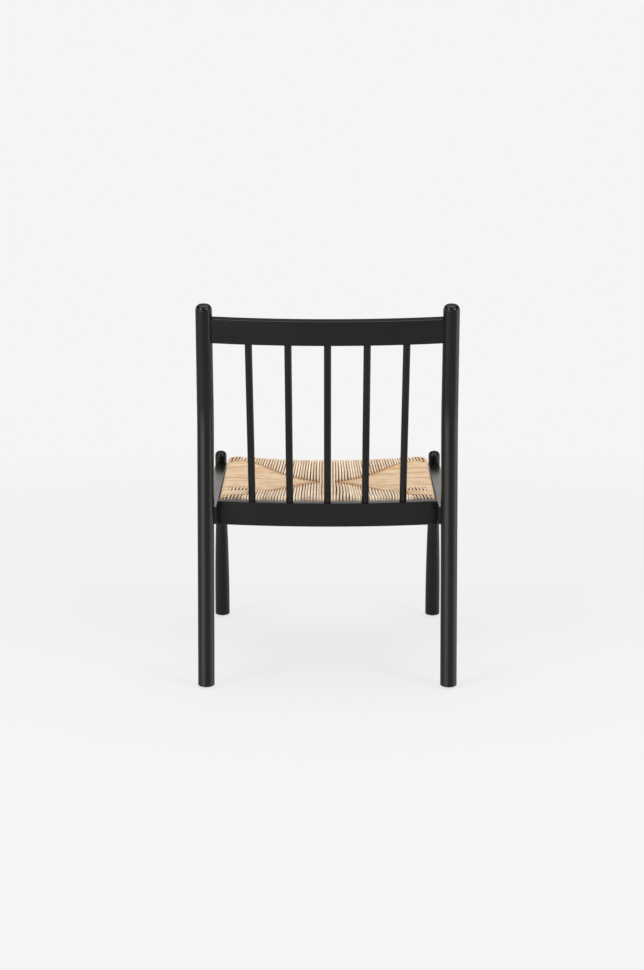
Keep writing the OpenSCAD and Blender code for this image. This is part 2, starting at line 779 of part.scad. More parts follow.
// Room for the seat frame inside the weave, square-edged
module frame_room() {
    half_h = bar_h / 2 + fit;
    steps = 24;
    half = bar_front_half + fit;
    translate([0, 0, -half_h]) linear_extrude(2 * half_h) {
        rear_bar_plan(fit);
        for (s = [-1, 1]) on_side(s) translate([side_bar_x, 0]) rotate([0, 0, -bar_turn])
            translate([-bar_w / 2 - fit, cord_wrap + bar_w / 2])
                square([bar_w + 2 * fit, side_bar_front + weld - cord_wrap - bar_w / 2]);
    }
    translate([0, side_bar_front + bar_w + fit, 0]) rotate([90, 0, 0]) linear_extrude(bar_w + 2 * fit)
        polygon(concat([[half, -half_h], [-half, -half_h]],
            [for (i = [0 : steps]) let (x = half * (2 * i / steps - 1)) [x, scoop(x) + fit]]));
}

module woven_seat() {
    color(cord_tan) at_seat() difference() {
        seat_form();
        frame_room();
        for (s = [-1, 1]) on_side(s) seat_screw_pair(slack);
    }
}

// Frame of a right corner block: x runs in from the side rail, y away from the cross rail
module at_block(front) {
    translate([side_inner_x(block_face_y(front)), block_face_y(front),
            front ? block_top_front : block_top_rear])
        if (front) rotate([0, 0, 180]) children();
        else mirror([1, 0, 0]) children();
}

// Screws of a right corner block: one into the side rail, one into the cross rail
module block_screws(front, grow = 0) {
    at_block(front) translate([0, 0, -block_screw_drop]) {
        translate([block_shank, block_screw_set, 0]) rotate([0, -90, 0])
            screw_body(block_shank + screw_in, grow);
        translate([block_screw_set, block_shank, 0]) rotate([90, 0, 0])
            screw_body(block_shank + screw_in, grow);
    }
}

// Clear ways from the slanted face of a corner block to its screws' heads
module block_screw_ways(front) {
    at_block(front) translate([0, 0, -block_screw_drop]) {
        translate([block_shank - slack, block_screw_set, 0]) rotate([0, 90, 0])
            cylinder(h = block_len, d = screw_head_d + 4 * slack);
        translate([block_screw_set, block_shank - slack, 0]) rotate([-90, 0, 0])
            cylinder(h = block_len, d = screw_head_d + 4 * slack);
    }
}

module corner_block(s, front) {
    bury = front ? block_bury_front : block_bury_rear;
    color(wood_raw) on_side(s) difference() {
        at_block(front) translate([0, 0, -block_h]) linear_extrude(2 * block_h)
            polygon([[-bury, -bury], [block_len, -bury], [block_len, 0], [0, block_len],
                [-bury, block_len]]);
        at_seat() translate([-far, -far, -seat_half_t - rest_gap]) cube([2 * far, 3 * far, far]);
        beyond_side_rail(fit);
        if (front) front_rail_stock(fit);
        else rear_rail_stock(fit);
        block_screws(front, slack);
        block_screw_ways(front);
        at_seat() {
            seat_screw_pair(slack);
            at_seat_screws() translate([0, 0, -block_h])
                cylinder(h = block_h + slack, d = screw_head_d + 4 * slack);
        }
    }
}

module corner_block_screws() {
    color(steel) for (s = [-1, 1], front = [false, true]) on_side(s) block_screws(front);
}

rear_post(-1);  // rear_post_left
rear_post(1);  // rear_post_right
front_leg(-1);  // front_leg_left
front_leg(1);  // front_leg_right
side_rail(-1);  // side_rail_left
side_rail(1);  // side_rail_right
rear_seat_rail();
front_seat_rail();
top_rail();
spindle(1);  // spindle_1
spindle(2);  // spindle_2
spindle(3);  // spindle_3
spindle(4);  // spindle_4
spindle(5);  // spindle_5
seat_bar_front();
seat_bar_rear();
seat_bar_side(-1);  // seat_bar_left
seat_bar_side(1);  // seat_bar_right
seat_bar_dowels();
woven_seat();
seat_screws();
corner_block(-1, true);  // corner_block_front_left
corner_block(1, true);  // corner_block_front_right
corner_block(-1, false);  // corner_block_rear_left
corner_block(1, false);  // corner_block_rear_right
corner_block_screws();
glide(-1, true);  // glide_front_left
glide(1, true);  // glide_front_right
glide(-1, false);  // glide_rear_left
glide(1, false);  // glide_rear_right
glide_nails();
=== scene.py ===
"""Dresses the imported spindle-back lounge chair: black lacquered frame and a woven paper-cord seat.

All lengths are in metres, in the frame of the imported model: the chair faces +Y and stands on Z = 0.
"""

from __future__ import annotations

import logging
import math
import random
from collections.abc import Callable
from dataclasses import dataclass, field
from enum import Enum

import bmesh
import bpy
import numpy as np
from mathutils import Matrix, Vector

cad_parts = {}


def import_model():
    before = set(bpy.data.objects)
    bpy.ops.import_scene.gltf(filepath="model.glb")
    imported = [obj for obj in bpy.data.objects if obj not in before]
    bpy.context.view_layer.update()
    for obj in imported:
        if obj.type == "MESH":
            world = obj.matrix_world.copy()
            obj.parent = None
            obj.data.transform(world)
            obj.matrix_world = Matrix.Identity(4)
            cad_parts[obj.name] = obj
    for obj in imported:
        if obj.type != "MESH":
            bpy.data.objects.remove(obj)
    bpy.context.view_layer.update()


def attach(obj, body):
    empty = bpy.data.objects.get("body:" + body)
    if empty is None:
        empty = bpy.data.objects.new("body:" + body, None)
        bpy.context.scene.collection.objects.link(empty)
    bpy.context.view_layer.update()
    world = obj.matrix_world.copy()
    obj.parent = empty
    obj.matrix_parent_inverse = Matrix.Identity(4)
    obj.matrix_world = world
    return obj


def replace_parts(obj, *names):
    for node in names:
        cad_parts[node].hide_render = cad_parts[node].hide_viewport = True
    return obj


LOG = logging.getLogger("lounge_chair")
BODY = "root"
MM = 0.001
RECLINE = 12.3
LEG_RAKE = 12.4
GRAIN_STRETCH = 0.045
MERGE_DISTANCE = 2e-6
FLAT_ANGLE = 0.4
SHARP_ANGLE = 38.0
LARGE_FACE_WEIGHT = 60


class Sock:
    """A value socket that adds Math nodes when it is used in an expression."""

    def __init__(self, book: Book, socket: bpy.types.NodeSocket) -> None:
        """Wraps a socket.

        Args:
            book: the material's node book, which new nodes go into.
            socket: the output socket to wrap.
        """
        self.book = book
        self.socket = socket

    def _math(self, operation: str, first: object, second: object) -> Sock:
        """Adds one Math node and returns its result."""
        return self.book.add("ShaderNodeMath", {"operation": operation}, {0: first, 1: second})

    def __add__(self, other: object) -> Sock:
        """self + other."""
        return self._math("ADD", self, other)

    def __radd__(self, other: object) -> Sock:
        """other + self."""
        return self._math("ADD", other, self)

    def __sub__(self, other: object) -> Sock:
        """self - other."""
        return self._math("SUBTRACT", self, other)

    def __rsub__(self, other: object) -> Sock:
        """other - self."""
        return self._math("SUBTRACT", other, self)

    def __mul__(self, other: object) -> Sock:
        """self * other."""
        return self._math("MULTIPLY", self, other)

    def __rmul__(self, other: object) -> Sock:
        """other * self."""
        return self._math("MULTIPLY", other, self)

    def __pow__(self, other: object) -> Sock:
        """self to the power of other."""
        return self._math("POWER", self, other)


class Book:
    """The node tree of one material or world, with one way to add any node."""

    def __init__(self, tree: bpy.types.NodeTree) -> None:
        """Empties the tree.

        Args:
            tree: the node tree to fill.
        """
        self.tree = tree
        tree.nodes.clear()

    def add(
        self,
        kind: str,
        settings: dict[str, object] | None = None,
        inputs: dict[int | str, object] | None = None,
        output: int | str = 0,
    ) -> Sock:
        """Adds a node of any kind.

        Args:
            kind: the node's type, as Blender names it.
            settings: the node's own properties, set first.
            inputs: values or sockets by the input's name or number.
            output: which output to return.

        Returns:
            The wrapped output socket.
        """
        node = self.tree.nodes.new(kind)
        for name, value in (settings or {}).items():
            setattr(node, name, value)
        for key, value in (inputs or {}).items():
            if isinstance(value, Sock):
                self.tree.links.new(value.socket, node.inputs[key])
            else:
                node.inputs[key].default_value = value
        return Sock(self, node.outputs[output]) if node.outputs else Sock(self, None)

    def coordinates(
        self,
        scale: tuple[float, float, float] = (1.0, 1.0, 1.0),
        turn: tuple[float, float, float] = (0.0, 0.0, 0.0),
    ) -> Sock:
        """Object coordinates through a Mapping node.

        Args:
            scale: scale along each axis.
            turn: rotation about each axis, in degrees.

        Returns:
            The mapped vector.
        """
        place = self.add("ShaderNodeTexCoord", output="Object")
        return self.add(
            "ShaderNodeMapping",
            {},
            {"Vector": place, "Scale": scale, "Rotation": tuple(math.radians(a) for a in turn)},
        )

    def axis(self, vector: Sock, index: int) -> Sock:
        """One of a vector's three values."""
        return self.add("ShaderNodeSeparateXYZ", {}, {0: vector}, output=index)

    def noise(self, vector: Sock, scale: float, detail: float, rough: float = 0.5) -> Sock:
        """A noise texture's factor.

        Args:
            vector: where it is read.
            scale: its scale.
            detail: its octaves.
            rough: its roughness.

        Returns:
            The factor, about 0.5 in the middle.
        """
        return self.add(
            "ShaderNodeTexNoise",
            {},
            {"Vector": vector, "Scale": scale, "Detail": detail, "Roughness": rough},
        )

    def span(self, value: Sock, low: float, high: float, to_low: float, to_high: float) -> Sock:
        """Maps a value from one span to another, held inside it."""
        return self.add(
            "ShaderNodeMapRange", {}, {0: value, 1: low, 2: high, 3: to_low, 4: to_high}
        )

    def blend(self, factor: object, first: object, second: object) -> Sock:
        """Mixes two colours."""
        return self.add(
            "ShaderNodeMix", {"data_type": "RGBA"}, {0: factor, 6: first, 7: second}, output=2
        )

    def bump(
        self, height: Sock, strength: float, distance: float, under: Sock | None = None
    ) -> Sock:
        """A bumped normal.

        Args:
            height: the height field.
            strength: the bump's strength.
            distance: the height of 1, in metres.
            under: the normal of a coarser bump below it.

        Returns:
            The normal.
        """
        inputs: dict[int | str, object] = {
            "Height": height,
            "Strength": strength,
            "Distance": distance,
        }
        if under is not None:
            inputs["Normal"] = under
        return self.add("ShaderNodeBump", {}, inputs)

    def surface(self, inputs: dict[int | str, object]) -> None:
        """Ends the tree with a Principled shader.

        Args:
            inputs: the shader's values and links.
        """
        shader = self.add("ShaderNodeBsdfPrincipled", {}, inputs)
        self.add("ShaderNodeOutputMaterial", {}, {"Surface": shader})


def linear(hex_colour: str, alpha: float = 1.0) -> tuple[float, float, float, float]:
    """A colour written as on a screen, as the linear values that sockets take.

    Args:
        hex_colour: six hex digits.
        alpha: the fourth value.

    Returns:
        Red, green, blue and alpha.
    """
    parts = [int(hex_colour[i : i + 2], 16) / 255 for i in (0, 2, 4)]
    lin = [p / 12.92 if p <= 0.04045 else ((p + 0.055) / 1.055) ** 2.4 for p in parts]
    return (lin[0], lin[1], lin[2], alpha)


def held(value: float) -> float:
    """The value, held between 0 and 1."""
    return max(0.0, min(1.0, value))


def blank(name: str) -> tuple[bpy.types.Material, Book]:
    """An empty material and its node book."""
    material = bpy.data.materials.new(name)
    material.use_nodes = True
    return material, Book(material.node_tree)


class Grain(Enum):
    """The way a timber's grain runs, as stretches of the pattern and its turn."""

    UP = ((1.0, 1.0, GRAIN_STRETCH), (0.0, 0.0, 0.0))
    BACK_UP = ((1.0, 1.0, GRAIN_STRETCH), (-RECLINE, 0.0, 0.0))
    RAKED_UP = ((1.0, 1.0, GRAIN_STRETCH), (-LEG_RAKE, 0.0, 0.0))
    ACROSS = ((GRAIN_STRETCH, 1.0, 1.0), (0.0, 0.0, 0.0))
    ALONG = ((1.0, GRAIN_STRETCH, 1.0), (0.0, 0.0, 0.0))


@dataclass(frozen=True)
class BlackLacquer:
    """Satin black lacquer over fine-grained timber."""

    colour: str = "131211"
    rubbed: str = "1e1c1a"
    roughness: float = 0.23
    specular: float = 0.41
    grain_scale: float = 900.0
    band_scale: float = 60.0
    wear_scale: float = 9.0
    peel_scale: float = 380.0
    grain_depth: float = 0.00005
    peel_depth: float = 0.00003
    wear_sheen: float = 0.14
    grain_sheen: float = 0.08
    band_tone: tuple[float, ...] = (0.3, 0.75, 0.0, 0.45)
    wear_tone: tuple[float, ...] = (0.45, 0.8, 0.0, 0.25)

    def make(self, grain: Grain) -> bpy.types.Material:
        """Makes the material for one direction of grain."""
        material, book = blank(f"black_lacquer_{grain.name.lower()}")
        along = book.coordinates(*grain.value)
        plain = book.coordinates()
        pores = book.noise(along, self.grain_scale, 3.0, 0.62)
        bands = book.noise(along, self.band_scale, 4.0, 0.5)
        wear = book.noise(plain, self.wear_scale, 3.0, 0.55)
        peel = book.noise(plain, self.peel_scale, 1.0)
        tone = book.span(bands, *self.band_tone) + book.span(wear, *self.wear_tone)
        colour = book.blend(tone, linear(self.colour), linear(self.rubbed))
        rough = self.roughness + (wear - 0.5) * self.wear_sheen + (pores - 0.5) * self.grain_sheen
        fine = book.bump(pores, 0.5, self.grain_depth)
        normal = book.bump(peel, 0.5, self.peel_depth, fine)
        book.surface(
            {
                "Base Color": colour,
                "Roughness": rough,
                "Specular IOR Level": self.specular,
                "Normal": normal,
            }
        )
        return material


@dataclass(frozen=True)
class RawTimber:
    """Sanded, unfinished hardwood, as on glue blocks and hidden bars."""

    light: str = "d2b287"
    dark: str = "b48a58"
    roughness: float = 0.62
    ring_scale: float = 170.0
    pore_scale: float = 1400.0
    pore_depth: float = 0.00012
    late_span: tuple[float, float] = (0.35, 0.68)

    def make(self, grain: Grain) -> bpy.types.Material:
        """Makes the material for one direction of grain."""
        material, book = blank(f"raw_timber_{grain.name.lower()}")
        along = book.coordinates(*grain.value)
        rings = book.noise(along, self.ring_scale, 5.0, 0.62)
        pores = book.noise(along, self.pore_scale, 2.0)
        late = book.span(rings, *self.late_span, 0.0, 1.0)
        colour = book.blend(late, linear(self.light), linear(self.dark))
        normal = book.bump(pores, 0.6, self.pore_depth)
        book.surface(
            {
                "Base Color": colour,
                "Roughness": self.roughness + (pores - 0.5) * 0.15,
                "Normal": normal,
            }
        )
        return material


@dataclass(frozen=True)
class PaperCord:
    """Natural twisted paper cord. It reads the strand's own tone, its depth attribute, which sets the
    painted shade on its flanks and in the gaps, and its UV map.
    """

    pale: str = "fff1db"
    mid: str = "d4b58e"
    deep: str = "ae7438"
    gap_shade: str = "441f09"
    roughness: float = 0.72
    specular: float = 0.3
    plies: float = 3.0
    twist_depth: float = 0.00035
    fibre_scale: float = 1500.0
    fibre_depth: float = 0.00012
    patch_scale: float = 34.0
    groove_shade: float = 0.2
    tone_share: float = 0.62
    patch_share: float = 0.5
    tone_shift: float = 0.06
    ridge_power: float = 0.6
    pale_span: tuple[float, float] = (0.2, 0.8)
    worn_span: tuple[float, float] = (0.0, 0.28)
    flank_shade_span: tuple[float, float] = (0.5, 0.95)
    gap_shade_span: tuple[float, float] = (0.12, 0.6)

    def make(self) -> bpy.types.Material:
        """Makes the material."""
        material, book = blank("paper_cord")
        tone = book.add("ShaderNodeAttribute", {"attribute_name": "tone"}, output="Fac")
        depth = book.add("ShaderNodeAttribute", {"attribute_name": "depth"}, output="Fac")
        uv = book.add("ShaderNodeUVMap", {"uv_map": "cord"})
        place = book.coordinates()
        fibre = book.noise(place, self.fibre_scale, 2.0, 0.6)
        patch = book.noise(place, self.patch_scale, 3.0, 0.5)
        spiral = (book.axis(uv, 0) + book.axis(uv, 1)) * (2.0 * math.pi * self.plies)
        ridge = book.add("ShaderNodeMath", {"operation": "SINE"}, {0: spiral})
        ridge = (ridge * 0.5 + 0.5) ** self.ridge_power
        mixed = tone * self.tone_share + patch * self.patch_share - self.tone_shift
        paleness = book.span(mixed, *self.pale_span, 0.0, 1.0)
        body = book.blend(paleness, linear(self.mid), linear(self.pale))
        worn = book.blend(book.span(mixed, *self.worn_span, 0.5, 0.0), body, linear(self.deep))
        # Painted shade: the twist's grooves are darkened towards the deep colour.
        groove_shaded = book.blend((1.0 - ridge) * self.groove_shade, worn, linear(self.deep))
        # Painted shade: the lower flanks darken towards the deep colour, and the gaps between strands
        # towards the gap colour.
        shaded = book.span(depth, *self.flank_shade_span, 0.85, 0.0)
        flank_shaded = book.blend(shaded, groove_shaded, linear(self.deep))
        colour = book.blend(book.span(depth, *self.gap_shade_span, 1.0, 0.0), flank_shaded, linear(self.gap_shade))
        twist = book.bump(ridge, 0.7, self.twist_depth)
        normal = book.bump(fibre, 0.5, self.fibre_depth, twist)
        book.surface(
            {
                "Base Color": colour,
                "Roughness": self.roughness + (fibre - 0.5) * 0.2,
                "Specular IOR Level": self.specular,
                "Normal": normal,
            }
        )
        return material


@dataclass(frozen=True)
class ShadedCordCore:
    """The inside of the weave, seen only between strands, coloured dark brown as painted shade."""

    # Painted shade: both colours are far darker than the cord, to stand for the shade between
    # strands.
    colour: str = "2f1709"
    pale: str = "4f2f17"
    roughness: float = 0.9
    fibre_scale: float = 420.0
    fibre_depth: float = 0.0006

    def make(self) -> bpy.types.Material:
        """Makes the material."""
        material, book = blank("shaded_cord_core")
        fibre = book.noise(book.coordinates(), self.fibre_scale, 3.0)
        colour = book.blend(fibre, linear(self.colour), linear(self.pale))
        normal = book.bump(fibre, 0.6, self.fibre_depth)
        book.surface({"Base Color": colour, "Roughness": self.roughness, "Normal": normal})
        return material


@dataclass(frozen=True)
class ZincSteel:
    """Dull zinc-plated steel of screws and nails."""

    colour: str = "b9bbbd"
    dulled: str = "8e8f8c"
    roughness: float = 0.34
    spangle_scale: float = 700.0
    spangle_depth: float = 0.00004

    def make(self) -> bpy.types.Material:
        """Makes the material."""
        material, book = blank("zinc_steel")
        spangle = book.noise(book.coordinates(), self.spangle_scale, 3.0)
        colour = book.blend(spangle, linear(self.colour), linear(self.dulled))
        book.surface(
            {
                "Base Color": colour,
                "Metallic": 1.0,
                "Roughness": self.roughness + (spangle - 0.5) * 0.25,
                "Normal": book.bump(spangle, 0.3, self.spangle_depth),
            }
        )
        return material


@dataclass(frozen=True)
class Nylon:
    """Off-white moulded nylon of the glides, scuffed underneath."""

    colour: str = "e6e3dc"
    scuffed: str = "b9b3a6"
    roughness: float = 0.42
    scratch_scale: float = 900.0
    scratch_depth: float = 0.00005
    scratch_stretch: tuple[float, float, float] = (1.0, 0.12, 1.0)
    scratch_turn: tuple[float, float, float] = (0.0, 0.0, 30.0)
    scuff_height: tuple[float, float] = (0.2 * MM, 1.2 * MM)

    def make(self) -> bpy.types.Material:
        """Makes the material."""
        material, book = blank("nylon")
        height = book.axis(book.coordinates(), 2)
        drawn_out = book.coordinates(self.scratch_stretch, self.scratch_turn)
        scratches = book.noise(drawn_out, self.scratch_scale, 4.0)
        low = book.span(height, *self.scuff_height, 1.0, 0.0)
        scuff = low * book.span(scratches, 0.45, 0.7, 0.0, 0.8)
        colour = book.blend(scuff, linear(self.colour), linear(self.scuffed))
        book.surface(
            {
                "Base Color": colour,
                "Roughness": self.roughness + low * 0.2 + (scratches - 0.5) * 0.1,
                "Normal": book.bump(scratches, 0.35, self.scratch_depth),
            }
        )
        return material


def finished(
    name: str, mesh: bpy.types.Mesh, material: bpy.types.Material
) -> bpy.types.Object:
    """Makes a piece of a mesh that is already in place.

    Args:
        name: the piece's name.
        mesh: its mesh, in the chair's frame.
        material: its finish.

    Returns:
        The piece, riding on the chair's one body.
    """
    piece = bpy.data.objects.new(name, mesh)
    bpy.context.scene.collection.objects.link(piece)
    mesh.materials.clear()
    mesh.materials.append(material)
    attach(piece, BODY)
    LOG.info("%s: %d faces", name, len(mesh.polygons))
    return piece


def refined_copy(node: str, name: str) -> bpy.types.Mesh:
    """A CAD node's mesh with its loose triangles joined and its flat regions made single faces.

    Args:
        node: the CAD node.
        name: the new mesh's name.

    Returns:
        A smooth-shaded mesh with sharp edges marked.
    """
    bm = bmesh.new()
    bm.from_mesh(bpy.data.objects[node].data)
    bmesh.ops.remove_doubles(bm, verts=bm.verts, dist=MERGE_DISTANCE)
    bmesh.ops.dissolve_limit(
        bm,
        angle_limit=math.radians(FLAT_ANGLE),
        verts=bm.verts,
        edges=bm.edges,
        delimit={"NORMAL"},
    )
    bmesh.ops.recalc_face_normals(bm, faces=bm.faces)
    for face in bm.faces:
        face.smooth = True
    for edge in bm.edges:
        if len(edge.link_faces) == 2:
            edge.smooth = edge.calc_face_angle(0.0) < math.radians(SHARP_ANGLE)
    mesh = bpy.data.meshes.new(name)
    bm.to_mesh(mesh)
    bm.free()
    return mesh


def weigh_normals(piece: bpy.types.Object) -> None:
    """Lets large faces set the shading at rounded edges."""
    modifier = piece.modifiers.new("weighted", "WEIGHTED_NORMAL")
    modifier.keep_sharp = True
    modifier.weight = LARGE_FACE_WEIGHT


@dataclass
class TimberFrame:
    """The black frame: posts, legs, rails and spindles, each dressed from its CAD node."""

    rail_front_y: float = -221.0 * MM
    rail_front_z: float = 385.0 * MM
    rail_bow: float = 13.0 * MM
    rail_half: float = 235.0 * MM
    rail_ease: float = 8.0 * MM
    rail_level: float = 0.8
    rail_drop: float = 1.7 * MM
    lacquer: BlackLacquer = field(default_factory=BlackLacquer)
    parts: dict[Grain, tuple[str, ...]] = field(
        default_factory=lambda: {
            Grain.UP: ("rear_post_left", "rear_post_right"),
            Grain.RAKED_UP: ("front_leg_left", "front_leg_right"),
            Grain.ALONG: ("side_rail_left", "side_rail_right"),
            Grain.ACROSS: ("rear_seat_rail", "front_seat_rail", "top_rail"),
            Grain.BACK_UP: tuple(f"spindle_{k}" for k in range(1, 6)),
        }
    )

    def build(self) -> None:
        """Dresses every timber part."""
        finishes = {grain: self.lacquer.make(grain) for grain in Grain}
        for grain, nodes in self.parts.items():
            for node in nodes:
                mesh = refined_copy(node, f"{node}_wood")
                if node == "rear_seat_rail":
                    self.level_top(mesh)
                piece = finished(f"{node}_wood", mesh, finishes[grain])
                weigh_normals(piece)
                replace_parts(piece, node)

    def level_top(self, mesh: bpy.types.Mesh) -> None:
        """Lowers the rear seat rail's top a little and turns it, so that it lies nearly level.

        Args:
            mesh: the rail's mesh, changed in place.
        """
        lean = math.tan(math.radians(RECLINE))
        for vert in mesh.vertices:
            x, y, z = vert.co
            front = self.rail_front_y + self.rail_bow * (x / self.rail_half) ** 2
            depth = self.rail_front_z + lean * (y - self.rail_front_y) - z
            share = max(0.0, 1.0 - max(0.0, depth) / self.rail_ease)
            vert.co.z += share * (self.rail_level * lean * max(0.0, front - y) - self.rail_drop)


@dataclass
class HiddenTimber:
    """Glue blocks under the seat and the bars inside the weave, kept as CAD nodes."""

    timber: RawTimber = field(default_factory=RawTimber)
    parts: dict[Grain, tuple[str, ...]] = field(
        default_factory=lambda: {
            Grain.ACROSS: (
                "seat_bar_front",
                "seat_bar_rear",
                "corner_block_front_left",
                "corner_block_front_right",
                "corner_block_rear_left",
                "corner_block_rear_right",
            ),
            Grain.ALONG: ("seat_bar_left", "seat_bar_right", "seat_bar_dowels"),
        }
    )

    def build(self) -> None:
        """Gives each part its timber."""
        for grain, nodes in self.parts.items():
            finish = self.timber.make(grain)
            for node in nodes:
                dress_node(node, finish)


@dataclass
class Fixings:
    """Screws, nails and glides."""

    steel: ZincSteel = field(default_factory=ZincSteel)
    nylon: Nylon = field(default_factory=Nylon)

    def build(self) -> None:
        """Dresses the fixings."""
        metal = self.steel.make()
        white = self.nylon.make()
        for node in ("seat_screws", "corner_block_screws", "glide_nails"):
            dress_node(node, metal)
        for end in ("front", "rear"):
            for side in ("left", "right"):
                node = f"glide_{end}_{side}"
                mesh = refined_copy(node, f"{node}_nylon")
                piece = finished(f"{node}_nylon", mesh, white)
                weigh_normals(piece)
                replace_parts(piece, node)


def dress_node(node: str, material: bpy.types.Material) -> None:
    """Puts a finish on a CAD node that keeps its own mesh."""
    piece = bpy.data.objects[node]
    if not piece.data.materials:
        piece.data.materials.append(material)
    for i in range(len(piece.material_slots)):
        piece.material_slots[i].material = material
    LOG.info("%s: finish %s", node, material.name)


@dataclass
class SeatShape:
    """The drop-in seat's form in its own frame.

    There x runs to the right, y forward from the rear edge and z up from the middle plane.
    """

    rear_y: float = -200.1 * MM
    middle_z: float = 372.5 * MM
    pitch: float = math.asin(12.5 / 419.5)
    length: float = 419.5 * MM
    rear_half: float = 222.5 * MM
    front_half: float = 225.3 * MM
    half_thick: float = 16.5 * MM
    front_dip: float = 11.0 * MM
    sag: float = 11.0 * MM
    dip_power: float = 1.5
    sag_power: float = 1.2
    bar: float = 30.0 * MM
    wrap: float = 6.0 * MM
    rear_bow: float = 13.0 * MM
    front_r: float = 30.0 * MM
    rear_r: float = 9.0 * MM
    roll: float = 9.0 * MM
    under_roll: float = 5.0 * MM

    def matrix(self) -> Matrix:
        """From the seat's frame to the chair's."""
        lift = Matrix.Translation((0.0, self.rear_y, self.middle_z))
        return lift @ Matrix.Rotation(self.pitch, 4, "X")

    def half(self, y: float) -> float:
        """Half the seat's width at a station, without its round corners."""
        return self.rear_half + (self.front_half - self.rear_half) * y / self.length

    def side_edge(self, y: float) -> float:
        """Half the seat's width at a station, with its round corners."""
        half = self.half(y)
        if y > self.length - self.front_r:
            d = min(self.front_r, y - (self.length - self.front_r))
            return half - self.front_r + math.sqrt(self.front_r**2 - d * d)
        if y < self.rear_r:
            d = min(self.rear_r, self.rear_r - y)
            return half - self.rear_r + math.sqrt(self.rear_r**2 - d * d)
        return half

    def front_edge(self, x: float) -> float:
        """The front edge at a distance from the middle, with the round corners."""
        inset = abs(x) - (self.front_half - self.front_r)
        if inset <= 0.0:
            return self.length
        return self.length - self.front_r + math.sqrt(max(0.0, self.front_r**2 - inset * inset))

    def rear_edge(self, x: float) -> float:
        """The bowed rear edge at a distance from the middle, with its small round corners."""
        bowed = -self.rear_bow * (1.0 - min(1.0, abs(x) / self.rear_half) ** 2)
        inset = abs(x) - (self.rear_half - self.rear_r)
        if inset <= 0.0:
            return bowed
        return bowed + self.rear_r - math.sqrt(max(0.0, self.rear_r**2 - inset * inset))

    def top(self, x: float, y: float) -> float:
        """Height of the weave's upper face."""
        across = 1.0 - min(1.0, abs(x) / self.front_half) ** 2
        along = held(y / self.length)
        middle = self.length / 2
        inward = max(0.0, 1.0 - abs(x) / (self.rear_half - self.wrap - self.bar))
        midway = max(0.0, 1.0 - abs(y - middle) / (middle - self.wrap - self.bar))
        hang = self.sag * (inward * midway) ** self.sag_power
        return self.half_thick - self.front_dip * across * along**self.dip_power - hang


class Side(Enum):
    """The four bars that the cord is wound on."""

    FRONT = "front"
    REAR = "rear"
    LEFT = "left"
    RIGHT = "right"


@dataclass(frozen=True)
class CordPoint:
    """One station of a cord: its centre, its outward way, girth, and its light share, which scales
    down its depth attribute to paint it in shade.
    """

    centre: Vector
    outward: Vector
    girth: float = 1.0
    light: float = 1.0


@dataclass(frozen=True)
class LoopPoint:
    """One station of a loop in the plane of its run, with its own outward way in out and up."""

    along: float
    height: float
    out: float
    up: float
    girth: float = 1.0
    light: float = 1.0


@dataclass(frozen=True)
class StrandLook:
    """How strongly shade is painted on a strand's lower flanks and in the grooves beside it, and the
    span of its tone.
    """

    shade_relief: float
    darkest: float
    palest: float


